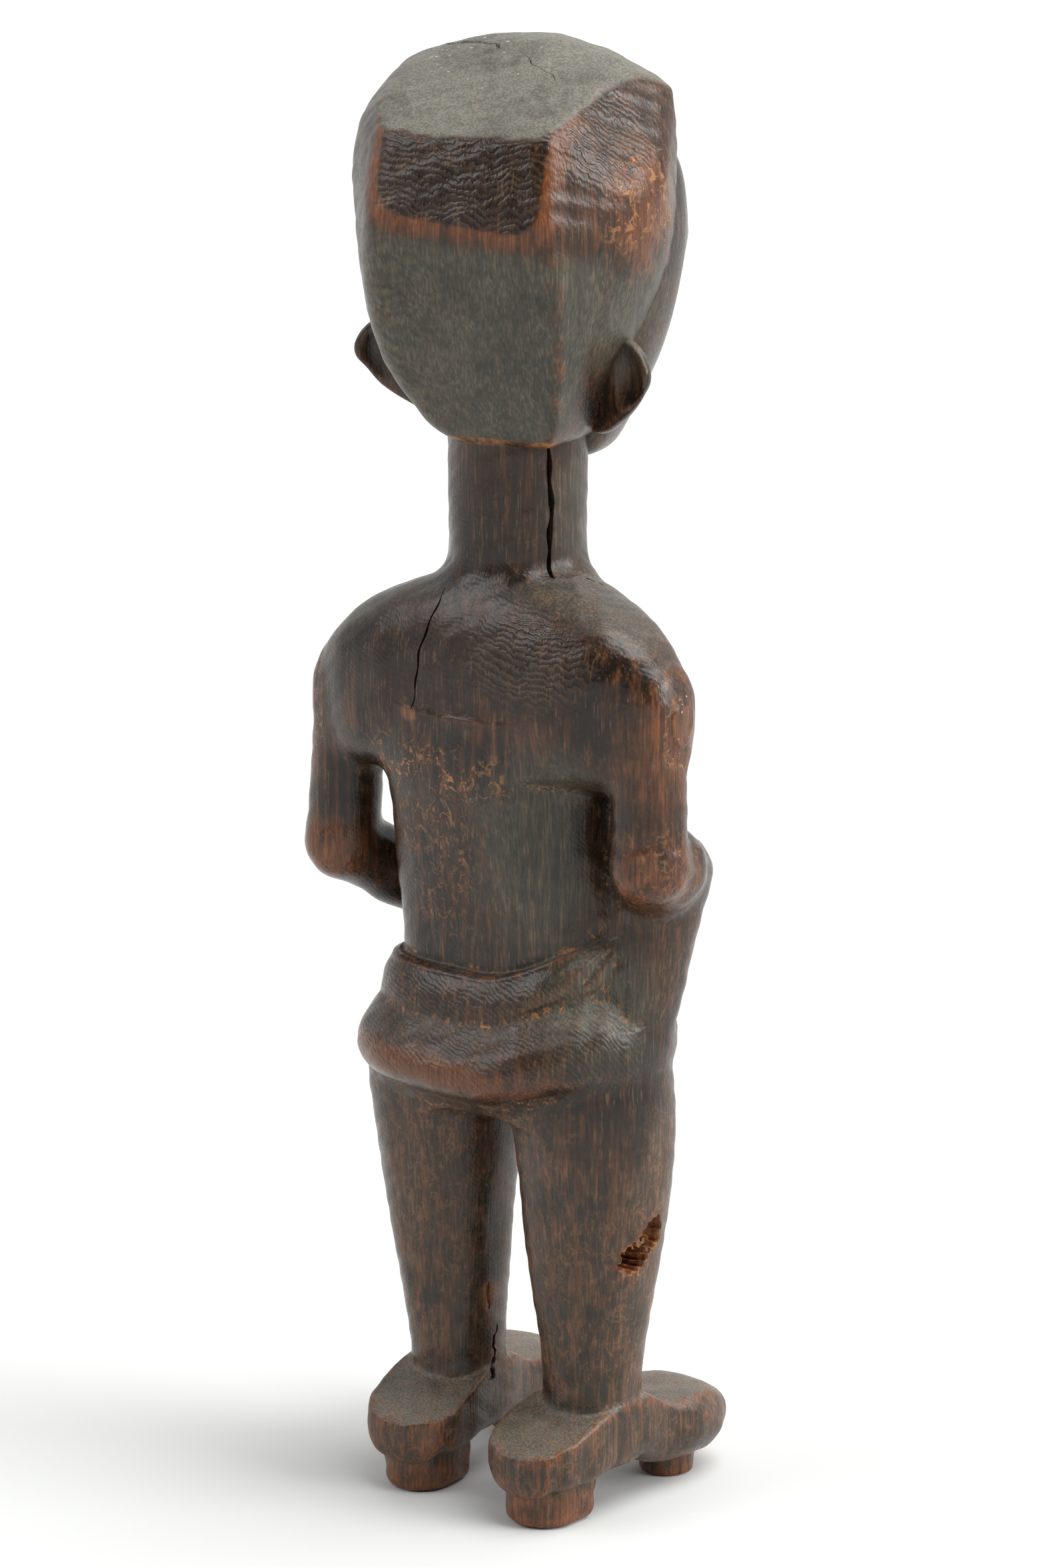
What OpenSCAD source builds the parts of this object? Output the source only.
// Standing figure carved from one log: a dressed man with both hands in his trouser pockets.
// The figure faces -Y, stands on Z = 0 and has its left side at +X. Millimetres.
// Each volume that the carver blocked out is a solid of its own, and the volumes meet
// face to face: where two of them run into each other, one is cut back to the other's skin.

/* [Shoes] */
// Length of a shoe from the back of the heel to the toe
shoe_l = 59; // [50:1:68]
// Width of a shoe across the ball of the foot
shoe_w = 21; // [18:0.5:24]
// Height of the shoe's opening above the ground
shoe_h = 26; // [22:0.5:30]
// Height of the heel block
heel_h = 8; // [6.5:0.5:10]
// Width of the heel block
heel_w = 15; // [13:0.5:18]
// Length of the heel block
heel_l = 14; // [12:0.5:17]
// Height of the pad under the ball of the foot
ball_h = 5; // [4:0.5:7]
// Diameter of the pad under the ball of the foot
ball_d = 11; // [9:0.5:14]
// Distance from the ankle's middle back to the end of the shoe
shoe_back = 24; // [20:0.5:26]
// Angle that each foot turns outwards
toe_out = 6; // [0:1:18]

/* [Legs] */
// Length of a trouser leg from the shoe's opening to the seat
leg_l = 58; // [48:1:70]
// Distance between the middles of the two ankles
ankle_gap = 34; // [30:0.5:38]
// Radius of a trouser leg at the ankle
ankle_r = 9.5; // [8:0.25:11]
// Radius of the left trouser leg under the seat
left_thigh_r = 15.5; // [13:0.5:17]
// Radius of the right trouser leg under the seat
right_thigh_r = 15.5; // [13:0.5:17]
// Depth of the rotted hole in the right calf
hole_depth = 9; // [4:0.5:11]

/* [Trousers] */
// Height of the seat from the top of the legs to the waistband
seat_h = 19; // [16:0.5:23]
// Width of the hips
hip_w = 65; // [56:1:74]
// Depth of the hips from the belly to the seat
hip_d = 46; // [38:1:54]
// Height of the waistband
band_h = 7.5; // [6:0.5:9]
// How far the waistband stands out from the trunk
band_t = 2; // [1.5:0.25:3]

/* [Trunk and arms] */
// Height of the trunk from the waistband to the shoulder blades
trunk_h = 37.5; // [31:0.5:45]
// Width of the trunk at the waist
trunk_w = 49; // [42:0.5:56]
// Depth of the trunk at the waist
trunk_d = 30; // [26:0.5:36]
// Height of the shoulders from the shoulder blades to the neck
yoke_h = 40.5; // [34:0.5:48]
// Width across the shoulders
yoke_w = 88; // [78:1:98]
// Depth of the shoulders from the chest to the back
yoke_d = 35; // [29:0.5:42]
// How much higher the right shoulder stands than the left
shoulder_tilt = 6; // [0:0.5:7]
// Radius of an upper arm
arm_r = 6.8; // [5.7:0.1:8]
// Radius of an elbow
elbow_r = 7.4; // [6.2:0.1:8.5]
// Length of the left upper arm from the shoulder's middle to the elbow
left_arm_l = 34; // [29:1:41]
// Length of the right upper arm from the shoulder's middle to the elbow
right_arm_l = 33; // [28:1:40]

/* [Neck and head] */
// Diameter of the neck
neck_d = 27; // [23:0.5:32]
// Visible length of the neck
neck_h = 25.5; // [21:0.5:31]
// Height of the head from the nape to the crown
head_h = 75; // [66:1:88]
// Width of the head across the temples
head_w = 66; // [56:0.5:76]
// Width of the flat at the back of the head
nape_w = 38; // [32:0.5:46]
// Distance from the neck's middle to the back of the head
head_back = 27; // [23:0.5:32]
// Distance from the neck's middle to the front of the face
face_front = 30; // [26:0.5:35]
// Angle that the head turns to the figure's left
head_turn = 11; // [0:1:20]
// Distance across the two ears
ear_span = 63; // [58:1:74]
// Height of an ear
ear_h = 18; // [15:0.5:21]

/* [Hidden] */

dark = [0.21, 0.17, 0.14];
warm = [0.32, 0.21, 0.15];

ring_sides = 24;
steps = 3;
left = 1;
right = -1;
// How far a volume runs on inside the one that cuts it back
sink = 6;
// How far a pad's top is let into the sole
overlap = 1;
// Sides of a round block, and how much wider its socket is cut so that flats clear the round
round_sides = 48;
round_clear = 1 / cos(180 / round_sides);
// Rounding of the ridges of the hair
ridge_r = 2.5;

// Levels, from the ground up
seat_z = shoe_h + leg_l;
band_z = seat_z + seat_h;
trunk_z = band_z + band_h;
yoke_z = trunk_z + trunk_h;
neck_z = yoke_z + yoke_h;
head_z = neck_z + neck_h;
shoulder_z = yoke_z + yoke_h * 0.40;

// Places in plan, from the neck's axis
leg_y = -2.4;
leg_x = ankle_gap / 2;
arm_y = 7;
arm_x = yoke_w / 2 - arm_r + 1.3;
shoe_front = shoe_l - shoe_back;
heel_y = shoe_back - 3;
ball_y = 13 - shoe_front;

// The part's bounding box is centred on the origin
front_y = min(leg_y - shoe_front * cos(toe_out), -face_front);
head_back_y = (head_back - ridge_r) * cos(head_turn) + (nape_w / 2 - 2) * sin(head_turn) + ridge_r;
back_y = max(head_back_y, hip_d / 2 + 2);
centre_y = (front_y + back_y) / 2;

// ---------------------------------------------------------------- free-form volumes

// Catmull-Rom curve through a list of keys, each key a list of numbers
function curve_at(k, i, t) =
    let (
        n = len(k),
        a = k[max(i - 1, 0)], b = k[i], c = k[min(i + 1, n - 1)], d = k[min(i + 2, n - 1)]
    )
    0.5 * (2 * b + (c - a) * t + (2 * a - 5 * b + 4 * c - d) * t * t
        + (3 * b - 3 * c + d - a) * t * t * t);
function smooth(k, n = steps) = [
    for (i = [0 : len(k) - 2]) for (j = [0 : n - 1]) curve_at(k, i, j / n),
    k[len(k) - 1]
];

// Closed solid over a stack of rings
module skin(rings) {
    n = len(rings[0]);
    m = len(rings);
    sides_a = [for (r = [0 : m - 2]) for (i = [0 : n - 1])
        [r * n + i, (r + 1) * n + i, (r + 1) * n + (i + 1) % n]];
    sides_b = [for (r = [0 : m - 2]) for (i = [0 : n - 1])
        [r * n + i, (r + 1) * n + (i + 1) % n, r * n + (i + 1) % n]];
    ends = [[for (i = [0 : n - 1]) i], [for (i = [n - 1 : -1 : 0]) (m - 1) * n + i]];
    polyhedron([for (r = rings) each r], concat(sides_a, sides_b, ends), convexity = 6);
}

// Point i of a ring: half width w, u on the far side and v on the near side, and a
// squareness of 2 for an ellipse upwards
function signed_pow(v, p) = sign(v) * pow(abs(v), p);
function ring_at(i, w, u, v, square) =
    let (a = 360 * i / ring_sides, p = 2 / square)
    [w * signed_pow(cos(a), p), (sin(a) > 0 ? u : v) * signed_pow(sin(a), p)];

// Stack of level rings. Key: [z, middle x, middle y, half width, back, front, squareness]
module upright(keys, n = steps) {
    skin([for (k = smooth(keys, n)) [for (i = [0 : ring_sides - 1])
        let (p = ring_at(i, k[3], k[4], k[5], k[6])) [k[1] + p[0], k[2] + p[1], k[0]]]]);
}

// Stack of rings across the X axis. Key: [x, middle y, middle z, depth, up, down, squareness]
module crosswise(keys, n = steps) {
    skin([for (k = smooth(keys, n)) [for (i = [0 : ring_sides - 1])
        let (p = ring_at(i, k[3], k[4], k[5], k[6])) [k[0], k[1] + p[0], k[2] + p[1]]]]);
}

// Stack of rings from the back to the front. Key: [y, middle z, half width, up, down, squareness]
module lengthwise(keys, n = steps) {
    skin([for (k = smooth(keys, n)) [for (i = [0 : ring_sides - 1])
        let (p = ring_at(i, k[2], k[3], k[4], k[5])) [p[0], k[0], k[1] + p[1]]]]);
}

// Round limb along a curve. Key: [x, y, z, radius]
function unit(v) = v / norm(v);
function middle(k) = [k[0], k[1], k[2]];
function limb_ring(c, r, along) =
    let (u = unit(cross(along, [1, 0, 0])), v = unit(cross(along, u)))
    [for (i = [0 : ring_sides - 1]) let (a = 360 * i / ring_sides) c + r * (cos(a) * u + sin(a) * v)];
module limb(keys, n = steps) {
    s = smooth(keys, n);
    m = len(s);
    skin([for (i = [0 : m - 1])
        limb_ring(middle(s[i]), s[i][3], unit(middle(s[min(i + 1, m - 1)]) - middle(s[max(i - 1, 0)])))]);
}

// One closed mesh of the children, at their own size
module carved() {
    resize([0, 0, 0]) children();
}

module on_side(side) {
    if (side == left) children();
    else mirror([1, 0, 0]) children();
}

// ---------------------------------------------------------------- head

module at_head() {
    rotate([0, 0, head_turn]) translate([0, 0, head_z]) children();
}

// The cap of hair: broad planes that meet in rounded ridges
module cranium_form() {
    edge = ridge_r;
    side = head_w / 2 - edge;
    back = head_back - edge;
    corners = [
        [neck_d / 2, neck_d / 2 - 1, edge],
        [nape_w / 2 - edge + 0.5, back, head_h * 0.54],
        [nape_w / 2 - edge, back - 4.5, head_h * 0.81 - edge],
        [side - 3, 4, head_h * 0.79],
        [side - 7, -8, head_h * 0.93 - edge],
        [9, -6, head_h - edge],
        [14, -14, head_h * 0.955 - edge],
        [side, 5, head_h * 0.55],
        [side - 4, -10, head_h * 0.58],
        [side - 8, -7, head_h * 0.25],
        [neck_d / 2 + 2, -2, edge + 1]
    ];
    hull() for (c = corners) for (s = [left, right])
        translate([s * c[0], c[1], c[2]]) sphere(edge, $fn = 16);
}

// A plain egg-shaped face
module face_form() {
    mid = -10;
    f = face_front + mid;
    w = head_w / 2 - 4;
    upright([
        [-6, 0, mid, 4, 3, f - 7, 2.2],
        [-4, 0, mid, 8.5, 8, f - 4, 2.3],
        [3, 0, mid, 14.5, 12, f - 1.5, 2.3],
        [head_h * 0.20, 0, mid, w - 7, 15, f - 1, 2.3],
        [head_h * 0.38, 0, mid, w - 1.5, 18, f - 1, 2.3],
        [head_h * 0.57, 0, mid, w, 20, f, 2.3],
        [head_h * 0.73, 0, mid, w - 1, 20, f - 1, 2.3],
        [head_h * 0.85, 0, mid, w - 5, 16, f - 4, 2.3],
        [head_h * 0.91, 0, mid, w - 12, 12, f - 9, 2.2]
    ], 2);
}

// A leaf that stands out sideways and a little back
module ear_form() {
    tip = ear_span / 2 - 1.5;
    mid = head_h * 0.155;
    hull() {
        translate([18, -1, mid + ear_h / 2]) sphere(1.8, $fn = 16);
        translate([tip - 3, 3, mid + ear_h * 0.30]) sphere(1.5, $fn = 16);
        translate([tip, 5.5, mid]) sphere(1.5, $fn = 16);
        translate([tip - 5, 4, mid - ear_h * 0.32]) sphere(1.5, $fn = 16);
        translate([17, 0, mid - ear_h / 2 + 1.5]) sphere(1.8, $fn = 16);
    }
}

module cranium() {
    color(dark) carved() at_head() cranium_form();
}

module face() {
    color(dark) carved() at_head() difference() {
        face_form();
        cranium_form();
    }
}

module ear(side) {
    color(dark) carved() at_head() difference() {
        on_side(side) ear_form();
        cranium_form();
        face_form();
    }
}

// ---------------------------------------------------------------- neck, shoulders and trunk

module neck() {
    color(dark) carved() difference() {
        translate([0, 0, neck_z - 2 * sink]) cylinder(h = neck_h + 3 * sink, d = neck_d, $fn = 48);
        at_head() cranium_form();
        at_head() face_form();
        shoulders_form();
    }
}

module shoulders_form() {
    w = yoke_w / 2;
    d = yoke_d / 2;
    mid = yoke_z + yoke_h * 0.45;
    up = yoke_h * 0.55;
    down = yoke_h * 0.45;
    // Key: [share of the half width, middle y, middle z, depth, up, down, squareness]
    half = [
        [1, arm_y - 1, mid - 3, d * 0.18, 3, 5, 2.2],
        [0.97, arm_y - 1, mid - 3, d * 0.32, up - 15, down - 8, 2.3],
        [0.90, arm_y - 1, mid - 2, d * 0.44, up - 11, down - 2, 2.4],
        [0.76, arm_y - 1.5, mid - 1.5, d * 0.64, up - 6.5, down - 1, 2.6],
        [0.50, arm_y - 3, mid - 1, d * 0.86, up - 2, down - 1, 2.8],
        [0.28, arm_y - 4.5, mid, d * 0.96, up, down - 1, 2.9]
    ];
    n = len(half);
    function placed(k, s) =
        [s * k[0] * w, k[1], k[2] - s * k[0] * shoulder_tilt / 2, k[3], k[4], k[5], k[6]];
    crosswise(concat(
        [for (i = [0 : n - 1]) placed(half[i], right)],
        [[0, arm_y - 5, mid, d, up, down - 1, 2.9]],
        [for (i = [n - 1 : -1 : 0]) placed(half[i], left)]
    ), 2);
}

module trunk_form() {
    w = trunk_w / 2;
    b = trunk_d / 2;
    upright([
        [band_z - sink, 0, 0, w - 1, b - 1, b, 3.2],
        [trunk_z + 3, 0, 0, w - 1, b - 0.5, b + 1, 3.2],
        [trunk_z + trunk_h * 0.4, 0, 0.5, w, b, b + 2, 3.2],
        [trunk_z + trunk_h * 0.8, 0, 1, w + 0.5, b + 0.8, b + 1.5, 3],
        [yoke_z + sink, 0, 1.5, w + 2, b + 2, b + 2, 2.8]
    ]);
}

module shoulders() {
    color(dark) carved() shoulders_form();
}

module trunk() {
    color(dark) carved() difference() {
        trunk_form();
        shoulders_form();
    }
}

// ---------------------------------------------------------------- arms

function shoulder_of(side) = [arm_x, arm_y, shoulder_z - side * shoulder_tilt / 2];
function elbow_of(side) =
    shoulder_of(side) - [0, 0, side == left ? left_arm_l : right_arm_l];
// The hands reach for the hips, so they stand off the side of the trunk
function wrist_of(side) =
    let (e = elbow_of(side), w = trunk_w / 2)
    side == left ? [w + 3, e[1] - 21, e[2] - 13] : [w + 9, e[1] - 14, e[2] - 5];
function knuckles_of(side) =
    wrist_of(side) + (side == left ? [-4, -1, -8] : [-4, -2, -11]);

module upper_arm_form(side) {
    s = shoulder_of(side);
    e = elbow_of(side);
    on_side(side) limb([
        [s[0] - 2, s[1], s[2], arm_r],
        [s[0] - 0.5, s[1], (2 * s[2] + e[2]) / 3, arm_r],
        [e[0] + 0.3, e[1], (s[2] + 2 * e[2]) / 3, arm_r + 0.1],
        [e[0], e[1], e[2] + 3, elbow_r],
        [e[0], e[1] - 0.5, e[2] - 2, elbow_r * 0.88],
        [e[0], e[1] - 1, e[2] - 5, elbow_r * 0.35]
    ]);
}

module forearm_form(side) {
    e = elbow_of(side);
    w = wrist_of(side);
    k = knuckles_of(side);
    on_side(side) limb([
        [e[0], e[1] + 1.5, e[2] + 3, elbow_r * 0.5],
        [e[0], e[1], e[2] + 2, elbow_r * 0.95],
        [(e[0] + w[0]) / 2 + 1, (e[1] + w[1]) / 2, (e[2] + w[2]) / 2 + 0.5, elbow_r * 0.95],
        [w[0], w[1], w[2], elbow_r * 0.85],
        [k[0], k[1], k[2], elbow_r * 0.75]
    ]);
}

module upper_arm(side) {
    color(dark) carved() difference() {
        upper_arm_form(side);
        shoulders_form();
        trunk_form();
    }
}

module forearm(side) {
    color(dark) carved() difference() {
        forearm_form(side);
        upper_arm_form(side);
        trunk_form();
        waistband_form();
        seat_form();
        pocket_form(side);
    }
}

// ---------------------------------------------------------------- trousers

module waistband_form() {
    w = trunk_w / 2 + band_t;
    b = trunk_d / 2 + band_t;
    upright([
        [band_z - 4, 0, 0, w + 3, b + 3.5, b + 2, 2.8],
        [band_z, 0, 0, w + 1.5, b + 2, b + 1.5, 2.9],
        [trunk_z - 1.2, 0, 0, w - 0.2, b, b + 0.3, 3],
        [trunk_z, 0, 0, w - 1, b - 0.8, b - 0.5, 3]
    ], 2);
}

module seat_form() {
    w = hip_w / 2;
    b = hip_d / 2;
    upright([
        [seat_z, 0, 0, w - 7, b - 7, b - 8, 2.6],
        [seat_z + 3, 0, 0, w - 2, b - 0.5, b - 4, 2.6],
        [seat_z + seat_h * 0.42, 0, 0, w, b + 2, b - 2, 2.5],
        [seat_z + seat_h * 0.7, 0, 0, w - 2, b, b - 3, 2.6],
        [band_z, 0, 0, trunk_w / 2 + band_t + 2.5, trunk_d / 2 + band_t + 2.5, trunk_d / 2 + band_t + 1, 2.8]
    ], 2);
}

module pocket_form(side) {
    k = knuckles_of(side);
    mouth = wrist_of(side)[2] - 1;
    on_side(side) upright([
        [seat_z + 6, k[0] - 7, k[1] + 10, 3, 5, 4, 2.3],
        [(seat_z + mouth) / 2 - 4, k[0] - 2, k[1] + 5, 6.5, 10, 7.5, 2.3],
        [(seat_z + mouth) / 2 + 5, k[0] - 0.5, k[1] + 4, 7.8, 10, 7.5, 2.3],
        [mouth - 2, k[0] + 1, k[1] + 3, 8, 9, 7, 2.3],
        [mouth, k[0] + 1.5, k[1] + 3, 7, 8, 6.5, 2.3]
    ], 2);
}

module waistband() {
    color(dark) carved() difference() {
        waistband_form();
        trunk_form();
        seat_form();
    }
}

module seat() {
    color(warm) carved() difference() {
        seat_form();
        trunk_form();
    }
}

module pocket(side) {
    color(dark) carved() difference() {
        pocket_form(side);
        seat_form();
        waistband_form();
        trunk_form();
    }
}

// ---------------------------------------------------------------- legs

module leg_form(side) {
    t = side == left ? left_thigh_r : right_thigh_r;
    knee = (ankle_r + t) / 2 + 0.3;
    calf = ankle_r + (t - ankle_r) * 0.18;
    on_side(side) upright([
        [shoe_h - sink, leg_x, leg_y, ankle_r, ankle_r, ankle_r, 2.2],
        [shoe_h + leg_l * 0.2, leg_x, leg_y, calf, calf, calf, 2.3],
        [shoe_h + leg_l * 0.6, leg_x + 0.6, leg_y, knee, knee, knee, 2.4],
        [seat_z - 4, leg_x + 1, leg_y + 0.5, t - 0.5, t - 0.3, t - 1, 2.4],
        [seat_z + 2, leg_x + 0.5, leg_y + 1, t, t + 0.5, t - 0.5, 2.4],
        [seat_z + sink, leg_x - 1, leg_y + 1, t - 2, t - 1, t - 2, 2.4]
    ]);
}

module calf_hole() {
    translate([-leg_x - ankle_r - 1.5, leg_y + 1, shoe_h + leg_l * 0.56]) rotate([28, 0, 0])
        scale([hole_depth / 5, 1, 1.3]) sphere(4.4, $fn = 16);
}

module leg(side) {
    color(warm) carved() difference() {
        leg_form(side);
        seat_form();
        shoe_form(side);
        if (side == right) calf_hole();
    }
}

// ---------------------------------------------------------------- shoes

module at_foot(side) {
    on_side(side) translate([leg_x, leg_y, 0]) rotate([0, 0, toe_out]) children();
}

// The ankle's middle is at y = 0, and the sole's pads are cut back to the ground side
module shoe_form(side) {
    w = shoe_w / 2;
    b = shoe_back;
    f = -shoe_front;
    mid = shoe_h * 0.58;
    up = shoe_h * 0.42;
    counter = mid - heel_h + overlap;
    ball = mid - ball_h + overlap;
    at_foot(side) difference() {
        lengthwise([
            [b, mid - 2, 3, 2, 2.5, 2.2],
            [b - 1.2, mid - 2, w - 4, up - 6, counter - 3.5, 2.4],
            [b - 5, mid - 1, w - 1, up - 3, counter - 1, 2.8],
            [b - 12, mid, w - 0.6, up - 1, counter, 3],
            [b - 20, mid, ankle_r + 0.6, up, counter - 2, 3.2],
            [b - 28, mid, ankle_r + 0.3, up, counter - 2.5, 3.2],
            [b - 35, mid - 1, w - 0.8, up - 1, ball - 2.5, 2.8],
            [f + 13, mid - 2, w, up - 3, ball - 2, 2.4],
            [f + 4, mid - 3, w - 2.5, up - 5.5, ball - 5, 2.2],
            [f + 0.8, mid - 3, w - 6, 3, 2.5, 2.1],
            [f, mid - 3, 1.5, 1.2, 1.2, 2]
        ], 2);
        heel_block(heel_h, round_clear);
        ball_block(ball_h, round_clear);
    }
}

// A D-shaped block: round at the back, straight at the waist of the shoe
module heel_block(h, grow = 1) {
    r = heel_w / 2;
    linear_extrude(h) {
        translate([0, heel_y - r]) circle(r * grow, $fn = round_sides);
        translate([-r, heel_y - heel_l]) square([heel_w, heel_l - r]);
    }
}

module ball_block(h, grow = 1) {
    translate([0, ball_y, 0]) cylinder(h = h, d = ball_d * grow, $fn = round_sides);
}

module shoe(side) {
    color(warm) carved() shoe_form(side);
}

module heel(side) {
    color(warm) at_foot(side) heel_block(heel_h);
}

module ball_pad(side) {
    color(warm) at_foot(side) ball_block(ball_h);
}

module centred() {
    translate([0, -centre_y, 0]) children();
}

centred() cranium();
centred() face();
centred() ear(left);  // left_ear
centred() ear(right);  // right_ear
centred() neck();
centred() shoulders();
centred() trunk();
centred() upper_arm(left);  // left_upper_arm
centred() upper_arm(right);  // right_upper_arm
centred() forearm(left);  // left_forearm
centred() forearm(right);  // right_forearm
centred() waistband();
centred() seat();
centred() pocket(left);  // left_pocket
centred() pocket(right);  // right_pocket
centred() leg(left);  // left_leg
centred() leg(right);  // right_leg
centred() shoe(left);  // left_shoe
centred() shoe(right);  // right_shoe
centred() heel(left);  // left_heel
centred() heel(right);  // right_heel
centred() ball_pad(left);  // left_ball_pad
centred() ball_pad(right);  // right_ball_pad
